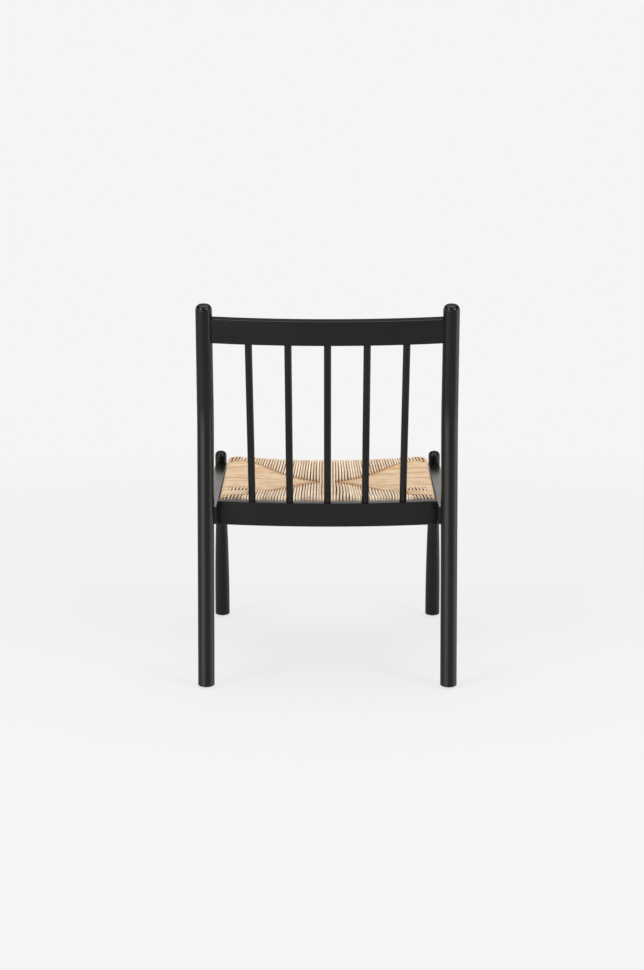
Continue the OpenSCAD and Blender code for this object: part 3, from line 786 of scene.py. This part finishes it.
@dataclass
class WovenSeat:
    """The envelope weave: loops of cord over each bar that meet on curved lines.

    The long strands run over the front and rear bars. The side strands run over the left and
    right bars, fan together to the apex and cross over the rear corners in a band.
    """

    shape: SeatShape = field(default_factory=SeatShape)
    cord: PaperCord = field(default_factory=PaperCord)
    core: ShadedCordCore = field(default_factory=ShadedCordCore)
    cord_r: float = 2.85 * MM
    pitch: float = 5.8 * MM
    corner_pitch: float = 7.15 * MM
    corner_x: float = 164.0 * MM
    jitter: float = 0.25 * MM
    bridge_jitter: float = 0.2 * MM
    lay: float = 15.0 * MM
    apex_x: float = 18.0 * MM
    apex_y: float = 185.0 * MM
    sides: int = 6
    flat_steps: int = 6
    bridge_steps: int = 14
    under_steps: int = 5
    upper_turn: tuple[float, ...] = (30.0, 62.0, 90.0)
    lower_turn: tuple[float, ...] = (90.0, 45.0, 0.0)
    seed: int = 11
    front_lean: float = 5.0 * MM
    rear_lean: float = 5.5 * MM
    lean_ramp: float = 28.0 * MM
    slow_ramp: float = 90.0 * MM
    corner_lean: float = 4.5 * MM
    sway: float = 1.0 * MM
    strong_sway: float = 2.2 * MM
    sway_length: float = 19.0 * MM
    sway_phase: float = 0.4
    long_look: StrandLook = StrandLook(1.12, 0.42, 1.0)
    # Painted light: the rear strands get a paler tone span, standing in for the stronger light that
    # falls on them.
    rear_look: StrandLook = StrandLook(1.18, 0.66, 1.0)
    cross_look: StrandLook = StrandLook(0.85, 0.0, 0.42)
    fan_pull: float = 0.4
    fan_reach: float = 115.0 * MM
    under_drop: float = 1.2
    band_low: float = 15.0 * MM
    band_high: float = 51.0 * MM
    band_inner: float = 160.0 * MM
    part_y: float = 180.0 * MM
    part_gap: float = 1.2 * MM
    part_reach: float = 30.0 * MM
    part_sink: float = 0.55
    # Painted shade on the cord sunk in the parting.
    part_shade: float = 0.46
    rear_lift: float = 0.5
    band_lift: float = 0.75
    cross_lift: float = 0.3
    girth_span: tuple[float, float] = (0.97, 1.04)
    core_gap: float = 1.5 * MM
    core_cuts: int = 13
    core_skin: float = 1.7
    core_round: int = 8
    front_line: tuple[tuple[float, float], ...] = (
        (18.0, 187.0), (55.0, 209.0), (88.0, 238.0), (97.0, 248.0), (127.0, 300.0),
        (155.0, 342.0), (181.0, 362.0), (200.0, 360.0), (212.0, 350.0), (225.0, 318.0),
    )
    rear_line: tuple[tuple[float, float], ...] = (
        (18.0, 182.0), (38.0, 158.0), (55.0, 131.0), (70.0, 113.0), (91.0, 87.0), (106.0, 66.0),
        (120.0, 60.0), (146.0, 70.0), (169.0, 79.0), (184.0, 90.0), (198.0, 87.0),
        (210.0, 62.0), (216.0, 40.0),
    )

    def build(self) -> None:
        """Builds the four windings, the bridging strands and the core."""
        rng = random.Random(self.seed)
        finish = self.cord.make()
        looks = {Side.FRONT: self.long_look, Side.REAR: self.rear_look}
        for side in Side:
            strands = self.windings(side, rng)
            look = looks.get(side, self.cross_look)
            mesh = self.strand_mesh(f"cord_{side.value}", strands, look, rng)
            piece = finished(f"cord_{side.value}", mesh, finish)
            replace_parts(piece, "woven_seat")
        bridge = self.strand_mesh("cord_bridge", self.bridges(rng), self.long_look, rng)
        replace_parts(finished("cord_bridge", bridge, finish), "woven_seat")
        core = finished("shaded_cord_core", self.core_mesh(), self.core.make())
        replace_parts(core, "woven_seat")

    @staticmethod
    def on_line(line: tuple[tuple[float, float], ...], x: float) -> float:
        """The boundary's station at a distance from the middle, in metres."""
        xs = [p[0] * MM for p in line]
        ys = [p[1] * MM for p in line]
        return float(np.interp(abs(x), xs, ys))

    def stations(self) -> list[float]:
        """Where the long cords lie across the seat, wider apart at the corners."""
        places = []
        x = self.pitch / 2
        while x < self.shape.rear_half - 2.6 * self.cord_r:
            places.append(x)
            x += self.pitch if x < self.corner_x else self.corner_pitch
        return [-p for p in reversed(places)] + places

    def fan(self, y: float, d: float) -> float:
        """A side cord's station at a distance from the middle, drawn together near the apex."""
        return y + (self.apex_y - y) * self.pull(held((d - self.apex_x) / self.fan_reach))

    def pull(self, share: float) -> float:
        """How far the side cords have drawn together, from the apex to where they run straight."""
        return self.fan_pull * (1.0 - share * share * (3.0 - 2.0 * share))

    def inner_end(self, y: float) -> float:
        """How near the middle a side cord comes, found from the apex out to the boundaries."""
        if self.band_low < y < self.band_high:
            return self.band_inner
        d = self.apex_x
        limit = self.shape.side_edge(y) - self.shape.roll
        while d < limit and not self.is_between(self.fan(y, d), d):
            d += 0.5 * MM
        return d

    def is_between(self, y: float, d: float) -> bool:
        """Whether a place lies in the side cords' own field."""
        return self.on_line(self.rear_line, d) <= y <= self.on_line(self.front_line, d)

    def is_corner(self, x: float) -> bool:
        """Whether side cords cross over a rear strand at this place."""
        return abs(x) > self.corner_x + 0.5 * self.pitch

    def windings(self, side: Side, rng: random.Random) -> list[list[CordPoint]]:
        """The strands over one bar, each as a row of points."""
        shape = self.shape
        strands = []
        if side in (Side.FRONT, Side.REAR):
            for x in self.stations():
                if abs(x) < self.apex_x:
                    continue
                x += rng.uniform(-self.jitter, self.jitter)
                if side is Side.FRONT:
                    strands.append(self.front_strand(x))
                    continue
                strands.append(self.rear_strand(x))
                if self.is_corner(x):
                    strands.append(self.short_run(x))
        else:
            sign = 1.0 if side is Side.RIGHT else -1.0
            count = int(shape.length / self.pitch)
            for i in range(count):
                strands.append(self.cross_strand((i + 0.5) * shape.length / count, sign, rng))
        return strands

    def loop(
        self,
        inner: float,
        edge: float,
        height: Callable[[float], float],
        under: float,
        lift: float,
    ) -> list[LoopPoint]:
        """A strand's line in the plane of its own run.

        Args:
            inner: distance outward where it dives between the crossing strands.
            edge: distance outward of the bar's outer face.
            height: the upper face's height at a distance.
            under: the distance outward where it dives below.
            lift: how far it rides above its neighbours.

        Returns:
            Its stations from the upper dive, over the bar, to the lower dive.
        """
        r = self.cord_r
        roll = self.shape.roll
        inner = min(inner, edge - roll - 1.2 * r)
        top = height(inner)
        # The light values paint shade: the end that dives between the crossing strands is darkened to
        # the gap colour.
        points = [
            LoopPoint(inner - 0.9 * r, top - 3.6 * r, 0.0, 1.0, 0.72, 0.0),
            LoopPoint(inner - 0.15 * r, top - 1.7 * r + lift, -0.5, 0.86, 0.8, 0.1),
            LoopPoint(inner + 1.2 * r, top - r + lift, 0.0, 1.0, 0.86, 0.6),
        ]
        flat = edge - roll
        for k in range(1, self.flat_steps + 1):
            share = k / self.flat_steps
            d = inner + 1.2 * r + (flat - inner - 1.2 * r) * share
            rise = height(d) - r + lift * (1.0 - share)
            points.append(LoopPoint(d, rise, 0.0, 1.0, 0.88 + 0.12 * share))
        wide = roll - r
        for a in self.upper_turn:
            s, c = math.sin(math.radians(a)), math.cos(math.radians(a))
            points.append(LoopPoint(flat + wide * s, height(flat) - roll + wide * c, s, c))
        low = -self.shape.half_thick
        tight = self.shape.under_roll
        narrow = tight - r
        for a in self.lower_turn:
            s, c = math.sin(math.radians(a)), math.cos(math.radians(a))
            points.append(LoopPoint(edge - tight + narrow * s, low + tight - narrow * c, s, -c))
        under = min(under, flat - 2.0 * r)
        points.append(LoopPoint((flat + under) / 2, low + r, 0.0, -1.0))
        points.append(LoopPoint(under + 1.0 * r, low + r, 0.0, -1.0))
        # Painted shade where the strand dives below.
        points.append(LoopPoint(under - 0.9 * r, low + 3.4 * r, 0.0, -1.0, 0.8, 0.0))
        return points

    def lean(self, x: float, reach: float, share: float, sway: float = 0.0) -> float:
        """How far a long cord lies out of its straight line.

        Args:
            x: its place across the seat.
            reach: how far it is moved outward where the share is 1.
            share: from 0 to 1 along its run.
            sway: how far its middle bulges to and fro, cord by cord.

        Returns:
            The offset in x.
        """
        share = held(share)
        slow = reach == self.rear_lean and x < 0.0
        reached = (abs(x) - self.apex_x) / (self.slow_ramp if slow else self.lean_ramp)
        ramp = held(reached)
        spare = (self.shape.rear_half - 1.2 * self.cord_r - abs(x)) / (3.0 * self.cord_r)
        room = held(spare)
        start = min(1.0, abs(x) / self.apex_x)
        wave = math.sin(abs(x) / self.sway_length + self.sway_phase)
        bend = sway * start * wave * math.sin(math.pi * share)
        return math.copysign(1.0, x) * (reach * ramp * room * share + bend)

    def front_strand(self, x: float) -> list[CordPoint]:
        """A strand over the front bar."""
        shape = self.shape
        edge, inner = shape.front_edge(x), self.on_line(self.front_line, x)
        under = shape.length / 2 + max(0.0, abs(x) - self.apex_x)
        strand = []
        for p in self.loop(inner, edge, lambda d: shape.top(x, d), under, 0.0):
            share = (edge - p.along) / (edge - inner) if p.up > 0.0 else 0.0
            place = Vector((x + self.lean(x, self.front_lean, share, self.sway), p.along, p.height))
            strand.append(CordPoint(place, Vector((0.0, p.out, p.up)), p.girth, p.light))
        return strand

    def rear_strand(self, x: float) -> list[CordPoint]:
        """A strand over the rear bar, short at the corners, where side cords cross over it."""
        shape = self.shape
        corner = self.is_corner(x)
        edge = -shape.rear_edge(x)
        inner = -self.band_low if corner else -self.on_line(self.rear_line, x)
        under = -(shape.length / 2 - max(0.0, abs(x) - self.apex_x))
        strand = []
        lift = self.rear_lift * self.cord_r
        for p in self.loop(inner, edge, lambda d: shape.top(x, -d), under, lift):
            share = (p.along - inner) / (edge - inner) if p.up > 0.0 else 1.0
            reach = self.corner_lean if corner else self.rear_lean
            lean = self.lean(x, reach, share, self.strong_sway if x > 0.0 else 0.0)
            place = Vector((x + lean, -p.along, p.height))
            strand.append(CordPoint(place, Vector((0.0, -p.out, p.up)), p.girth, p.light))
        return strand

    def short_run(self, x: float) -> list[CordPoint]:
        """The bit of a corner strand that shows between the side cords' band and the boundary."""
        shape, r = self.shape, self.cord_r
        start, end = self.band_high - 1.5 * r, self.on_line(self.rear_line, x)
        end = max(end, start + 4.0 * r)
        # The last value of each row is its light share: painted shade at the ends where it dives.
        rows = (
            (start, -2.6, 0.75, 0.0),
            (start + 0.9 * r, -1.0, 0.8, 0.8),
            ((start + end) / 2, -0.4, 0.84, 1.0),
            (end - 1.2 * r, -0.4, 0.84, 1.0),
            (end + 0.15 * r, -1.7, 0.8, 0.6),
            (end + 0.9 * r, -3.6, 0.72, 0.0),
        )
        strand = []
        for y, deep, girth, light in rows:
            lean = self.lean(x, self.corner_lean, (end - y) / (end - start))
            place = Vector((x + lean, y, shape.top(x, y) + deep * r))
            strand.append(CordPoint(place, Vector((0.0, 0.0, 1.0)), girth, light))
        return strand

    def cross_strand(self, y: float, sign: float, rng: random.Random) -> list[CordPoint]:
        """A strand that runs across over the left or right bar."""
        shape = self.shape
        nearness = max(0.0, 1.0 - abs(y - self.part_y) / self.part_reach)
        sunk = 0.0 < y - self.part_y < self.pitch
        y += rng.uniform(-self.jitter, self.jitter) + math.copysign(
            self.part_gap * nearness, y - self.part_y
        )
        edge = shape.side_edge(y)
        inner = self.inner_end(y)
        under = self.apex_x + abs(y - shape.length / 2)
        banded = self.band_low < y < self.band_high
        lift = (self.band_lift if banded else self.cross_lift) * self.cord_r
        strand = []
        for p in self.loop(inner, edge, lambda d: shape.top(d, self.fan(y, d)), under, lift):
            share = held((p.along - self.apex_x) / self.fan_reach)
            pull = self.pull(share) if p.up > 0.0 else 0.0
            station = y + (self.apex_y - y) * pull
            crossed = p.up > 0.9 and not banded and not self.is_between(station, p.along)
            drop = self.under_drop * self.cord_r if crossed and p.along > self.corner_x else 0.0
            drop += self.part_sink * self.cord_r if sunk and p.up > 0.9 else 0.0
            place = Vector((sign * p.along, station, p.height - drop))
            girth = max(p.girth, 0.97) * (1.0 - 0.75 * pull)
            # Painted shade: the cord sunk in the parting and cords that dip under crossing strands
            # are darkened.
            light = p.light * (self.part_shade if sunk else 0.5 if drop else 1.0)
            strand.append(CordPoint(place, Vector((sign * p.out, 0.0, p.up)), girth, light))
        return strand

    def bridges(self, rng: random.Random) -> list[list[CordPoint]]:
        """The few strands in the middle that run over both bars."""
        strands = []
        for x in self.stations():
            if abs(x) < self.apex_x:
                x += rng.uniform(-self.bridge_jitter, self.bridge_jitter)
                strands.append(self.bridge(x))
        return strands

    def bridge(self, x: float) -> list[CordPoint]:
        """One closed turn over the rear and front bars."""
        shape = self.shape
        r, roll, tight, low = self.cord_r, shape.roll, shape.under_roll, -shape.half_thick
        front, rear = shape.front_edge(x), shape.rear_edge(x)

        def turn(
            edge: float, sense: float, base: float, way: float, angles: tuple[float, ...]
        ) -> list[CordPoint]:
            """A quarter turn over or under a bar's edge."""
            bend = roll if way > 0.0 else tight
            centre = edge - sense * bend
            points = []
            for a in angles:
                s, c = math.sin(math.radians(a)), math.cos(math.radians(a))
                y, z = centre + sense * (bend - r) * s, base - way * (bend - (bend - r) * c)
                points.append(CordPoint(Vector((x, y, z)), Vector((0.0, sense * s, way * c))))
            return points

        rising, falling = (0.0, 45.0, 90.0), (90.0, 45.0, 0.0)
        points = turn(front, 1.0, low, -1.0, rising)
        points += turn(front, 1.0, shape.top(x, front - roll), 1.0, falling)
        for k in range(1, self.bridge_steps):
            share = k / self.bridge_steps
            y = (front - roll) + (rear + roll - front + roll) * share
            near = min(share, 1.0 - share) * 2.0
            bend = self.lean(x, 0.0, near, self.sway)
            place = Vector((x + bend, y, shape.top(x, y) - r))
            points.append(CordPoint(place, Vector((0.0, 0.0, 1.0)), 0.95))
        points += turn(rear, -1.0, shape.top(x, rear + roll), 1.0, rising)
        points += turn(rear, -1.0, low, -1.0, falling)
        for k in range(1, self.under_steps + 1):
            y = (rear + tight) + (front - rear - 2 * tight) * k / self.under_steps
            points.append(CordPoint(Vector((x, y, low + r)), Vector((0.0, 0.0, -1.0))))
        return points

    def strand_mesh(
        self, name: str, strands: list[list[CordPoint]], look: StrandLook, rng: random.Random
    ) -> bpy.types.Mesh:
        """Turns strands into one mesh of swept cords with tone, depth (painted shade) and UV layers.

        Args:
            name: the mesh's name.
            strands: each strand's points, in the seat's frame.
            look: their painted shade and tones.
            rng: the source of each strand's own tone.

        Returns:
            The mesh, in the chair's frame.
        """
        place = self.shape.matrix()
        bm = bmesh.new()
        uv = bm.loops.layers.uv.new("cord")
        tone_layer = bm.verts.layers.float.new("tone")
        shade_layer = bm.verts.layers.float.new("depth")
        for points in strands:
            tone = rng.uniform(look.darkest, look.palest)
            start = rng.random()
            swell = self.cord_r * rng.uniform(*self.girth_span)
            ring = bmesh.ops.create_circle(
                bm, cap_ends=False, segments=self.sides, radius=swell
            )["verts"]
            previous, travelled = None, 0.0
            edges = list(dict.fromkeys(e for v in ring for e in v.link_edges))
            for i, point in enumerate(points):
                ahead = points[min(i + 1, len(points) - 1)].centre
                behind = points[max(i - 1, 0)].centre
                run = (ahead - behind).normalized()
                side = run.cross(point.outward).normalized()
                up = side.cross(run).normalized()
                if previous is not None:
                    step = (point.centre - previous).length
                    travelled += step
                    grown = bmesh.ops.extrude_edge_only(bm, edges=edges)["geom"]
                    lower, ring = ring, self.matching(ring, grown)
                    edges = [
                        e
                        for e in grown
                        if isinstance(e, bmesh.types.BMEdge) and all(v in ring for v in e.verts)
                    ]
                    here = start + travelled / self.lay
                    back = start + (travelled - step) / self.lay
                    for k, vert in enumerate(ring):
                        for face in vert.link_faces:
                            for loop in face.loops:
                                if loop.vert is vert:
                                    loop[uv].uv = (here, k / self.sides)
                                elif loop.vert is lower[k]:
                                    loop[uv].uv = (back, k / self.sides)
                    for face in set(ring[0].link_faces) & set(ring[-1].link_faces):
                        for loop in face.loops:
                            if loop.vert in (ring[0], lower[0]):
                                loop[uv].uv.y = 1.0
                for k, vert in enumerate(ring):
                    angle = 2.0 * math.pi * k / self.sides
                    reach = up * math.cos(angle) + side * math.sin(angle)
                    # Painted shade: the depth attribute falls on the strand's lower side and with its
                    # light share.
                    shade = look.shade_relief * 0.5 * (1.0 - math.cos(angle))
                    vert.co = place @ (point.centre + reach * swell * point.girth)
                    vert[tone_layer] = tone
                    vert[shade_layer] = point.light * (1.0 - shade)
                previous = point.centre
        for face in bm.faces:
            face.smooth = True
        bmesh.ops.recalc_face_normals(bm, faces=bm.faces)
        # Extrusion leaves the faces in another order each run, so their corners set it.
        bm.verts.index_update()
        count = len(bm.verts)
        bm.faces.sort(
            key=lambda f: min(v.index for v in f.verts) * count + max(v.index for v in f.verts)
        )
        mesh = bpy.data.meshes.new(name)
        bm.to_mesh(mesh)
        bm.free()
        return mesh

    @staticmethod
    def matching(ring: list[bmesh.types.BMVert], grown: list[object]) -> list[bmesh.types.BMVert]:
        """The extruded ring's corners, in the order of the ring that they left."""
        fresh = {v for v in grown if isinstance(v, bmesh.types.BMVert)}
        return [
            next(e.other_vert(vert) for e in vert.link_edges if e.other_vert(vert) in fresh)
            for vert in ring
        ]

    def core_mesh(self) -> bpy.types.Mesh:
        """A closed pillow just inside the cords."""
        shape = self.shape
        skin = self.core_skin * self.cord_r
        inset = skin + self.core_gap
        bm = bmesh.new()
        bmesh.ops.create_cube(bm, size=2.0)
        bmesh.ops.subdivide_edges(bm, edges=bm.edges, cuts=self.core_cuts, use_grid_fill=True)
        place = shape.matrix()
        for vert in bm.verts:
            u, v, w = vert.co
            x = u * (shape.front_half - inset)
            rear, front = shape.rear_edge(x) + inset, shape.front_edge(x) - inset
            y = (rear + front) / 2 + v * (front - rear) / 2
            limit = shape.side_edge(min(max(y, 0.0), shape.length)) - inset
            x = max(-limit, min(limit, x))
            rim = self.core_gap * max(abs(u), abs(v)) ** self.core_round
            top = shape.top(x, y) - skin - rim
            low = -shape.half_thick + skin + rim
            vert.co = place @ Vector((x, y, low + (top - low) * (w + 1.0) / 2.0))
        bmesh.ops.recalc_face_normals(bm, faces=bm.faces)
        mesh = bpy.data.meshes.new("shaded_cord_core")
        bm.to_mesh(mesh)
        bm.free()
        return mesh


@dataclass
class Stage:
    """Floor, background, lamps and camera."""

    backdrop: float = 0.913
    fill: float = 0.5
    gloss_low: float = 0.4
    gloss_high: float = 0.1
    gloss_behind: float = 0.45
    gloss_left: float = 2.0
    gloss_right: float = 1.4
    behind_span: tuple[float, float] = (-0.25, 0.05)
    near_floor_span: tuple[float, float] = (-0.46, -0.28)
    above_span: tuple[float, float] = (0.22, 0.42)
    horizon_span: tuple[float, float] = (-0.14, -0.02)
    left_outer_span: tuple[float, float] = (-0.98, -0.8)
    left_inner_span: tuple[float, float] = (-0.32, -0.12)
    right_span: tuple[float, float] = (0.78, 0.93)
    floor_r: float = 7.0
    floor_share: float = 0.22
    floor_fade: tuple[float, float] = (0.9, 2.6)
    side_watts: float = 46.0
    top_watts: float = 42.0
    lens_mm: float = 71.63
    sensor_mm: float = 36.0
    camera_at: tuple[float, float, float] = (0.0, -4.09997, 1.1703)
    tilt: float = 11.0
    yaw: float = 0.166

    def build(self) -> None:
        """Builds the stage."""
        self.light_world()
        self.lay_floor()
        self.hang_lamps()
        self.place_camera()
        scene = bpy.context.scene
        scene.view_settings.view_transform = "Standard"

    def light_world(self) -> None:
        """A pale world: the background's own level to the camera, and a softer fill elsewhere."""
        world = bpy.data.worlds.new("studio")
        bpy.context.scene.world = world
        world.use_nodes = True
        book = Book(world.node_tree)
        seen = book.add("ShaderNodeLightPath", output="Is Camera Ray")
        gloss = book.add("ShaderNodeLightPath", output="Is Glossy Ray")
        through = book.add("ShaderNodeLightPath", output="Is Transmission Ray")
        shown = book.add(
            "ShaderNodeMath", {"operation": "ADD", "use_clamp": True}, {0: seen, 1: through}
        )
        reflected = self.surroundings(book)
        strength = self.fill + shown * (self.backdrop - self.fill) + gloss * (reflected - self.fill)
        white = (1.0, 1.0, 1.0, 1.0)
        glow = book.add("ShaderNodeBackground", {}, {"Color": white, "Strength": strength})
        book.add("ShaderNodeOutputWorld", {}, {"Surface": glow})

    def surroundings(self, book: Book) -> Sock:
        """What gloss sees: backdrop ahead, a dim room above, lit floor to the left and right.

        Args:
            book: the world's node book.

        Returns:
            The strength in each direction.
        """
        way = book.add("ShaderNodeTexCoord", output="Generated")
        across, ahead, rise = (book.axis(way, i) for i in range(3))
        behind = book.span(ahead, *self.behind_span, 1.0, 0.0)
        room = book.span(rise, *self.above_span, self.backdrop, self.gloss_high)
        upper = room * (1.0 - behind * (1.0 - self.gloss_behind))
        left = book.span(across, *self.left_inner_span, 1.0, 0.0)
        left = left * book.span(across, *self.left_outer_span, 0.0, 1.0) * behind
        right = book.span(across, *self.right_span, 0.0, 1.0)
        near = book.span(rise, *self.near_floor_span, 0.0, 1.0)
        lower = (left * self.gloss_left + right * self.gloss_right) * near + self.gloss_low
        below = book.span(rise, *self.horizon_span, 1.0, 0.0)
        return lower * below + upper * (1.0 - below)

    def lay_floor(self) -> None:
        """A pale disc that keeps a faint shadow and fades into the background."""
        bm = bmesh.new()
        bmesh.ops.create_circle(bm, cap_ends=True, segments=96, radius=self.floor_r)
        mesh = bpy.data.meshes.new("floor")
        bm.to_mesh(mesh)
        bm.free()
        floor = bpy.data.objects.new("floor", mesh)
        bpy.context.scene.collection.objects.link(floor)
        material, book = blank("pale_floor")
        place = book.add("ShaderNodeTexCoord", output="Object")
        far = book.add(
            "ShaderNodeVectorMath", {"operation": "LENGTH"}, {0: place}, output="Value"
        )
        near = book.span(far, *self.floor_fade, self.floor_share, 0.0)
        matt = book.add("ShaderNodeBsdfDiffuse", {}, {"Color": (0.8, 0.8, 0.8, 1.0)})
        clear = book.add("ShaderNodeBsdfTransparent")
        both = book.add("ShaderNodeMixShader", {}, {0: near, 1: clear, 2: matt})
        book.add("ShaderNodeOutputMaterial", {}, {"Surface": both})
        mesh.materials.append(material)

    def hang_lamps(self) -> None:
        """Two soft lamps to the left and right, on the camera's side, and a wide one above."""
        seat, size = (0.0, 0.0, 0.4), (1.2, 1.2)
        self.lamp("lamp_left", (-2.2, -2.4, 2.6), seat, size, self.side_watts)
        self.lamp("lamp_right", (2.2, -2.4, 2.6), seat, size, self.side_watts)
        self.lamp("lamp_above", (0.0, 0.2, 3.4), (0.0, 0.0, 0.3), (3.0, 3.0), self.top_watts)

    @staticmethod
    def lamp(
        name: str,
        at: tuple[float, float, float],
        to: tuple[float, float, float],
        size: tuple[float, float],
        power: float,
    ) -> None:
        """Hangs one rectangular soft lamp.

        Args:
            name: the lamp's name.
            at: where it hangs.
            to: the point that it faces.
            size: its width and height.
            power: its power in watts.
        """
        light = bpy.data.lights.new(name, "AREA")
        light.shape = "RECTANGLE"
        light.size, light.size_y = size
        light.energy = power
        lamp = bpy.data.objects.new(name, light)
        bpy.context.scene.collection.objects.link(lamp)
        lamp.location = at
        lamp.rotation_mode = "QUATERNION"
        lamp.rotation_quaternion = (Vector(to) - Vector(at)).to_track_quat("-Z", "Y")
        lamp.visible_camera = False

    def place_camera(self) -> None:
        """The camera at the photograph's place and angle."""
        data = bpy.data.cameras.new("camera")
        camera = bpy.data.objects.new("camera", data)
        bpy.context.scene.collection.objects.link(camera)
        data.lens = self.lens_mm
        data.sensor_width = self.sensor_mm
        data.sensor_fit = "AUTO"
        data.clip_start, data.clip_end = 0.1, 60.0
        camera.location = self.camera_at
        camera.rotation_euler = (math.radians(90.0 - self.tilt), 0.0, math.radians(self.yaw))
        bpy.context.scene.camera = camera


def main() -> None:
    """Builds the chair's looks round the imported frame."""
    logging.basicConfig(level=logging.INFO, format="%(name)s: %(message)s")
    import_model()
    TimberFrame().build()
    HiddenTimber().build()
    Fixings().build()
    WovenSeat().build()
    Stage().build()
    bpy.context.view_layer.update()


if __name__ == "__main__":
    main()
